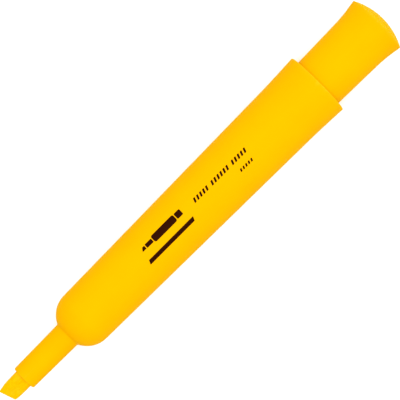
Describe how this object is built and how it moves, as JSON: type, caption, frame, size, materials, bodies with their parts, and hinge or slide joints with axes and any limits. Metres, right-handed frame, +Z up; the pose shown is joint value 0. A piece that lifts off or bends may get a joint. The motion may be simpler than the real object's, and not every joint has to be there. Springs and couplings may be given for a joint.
{
  "type": "chisel tip highlighter",
  "caption": "Round desk highlighter with a slanted chisel nib, a slim nozzle, a tapered barrel and a flared domed cap pushed into the socket in the barrel's back end.",
  "frame": {"origin": "on the surface the pen lies on, below the middle of its length", "axes": "+X along the pen from the nib to the cap, +Z up through the printed side, +Y towards the nib's leading corner"},
  "size_m": [0.1408, 0.019, 0.019],
  "materials": {
    "yellow_plastic": "satin",
    "nib_felt": "matte",
    "reservoir_fibre": "matte",
    "clear_film": "gloss",
    "natural_plastic": "satin",
    "print_ink": "satin"
  },
  "bodies": {
    "barrel": {"barrel": "yellow_plastic", "nib": "nib_felt", "reservoir_core": "reservoir_fibre", "reservoir_wrap": "clear_film", "rear_plug": "yellow_plastic"},
    "cap": {"cap_shell": "yellow_plastic", "cap_inner_seal": "natural_plastic"}
  },
  "joints": [
    {"name": "cap_slide", "type": "slide", "parent": "barrel", "child": "cap", "axis": [1, 0, 0], "range_m": [0, 0.03]}
  ]
}
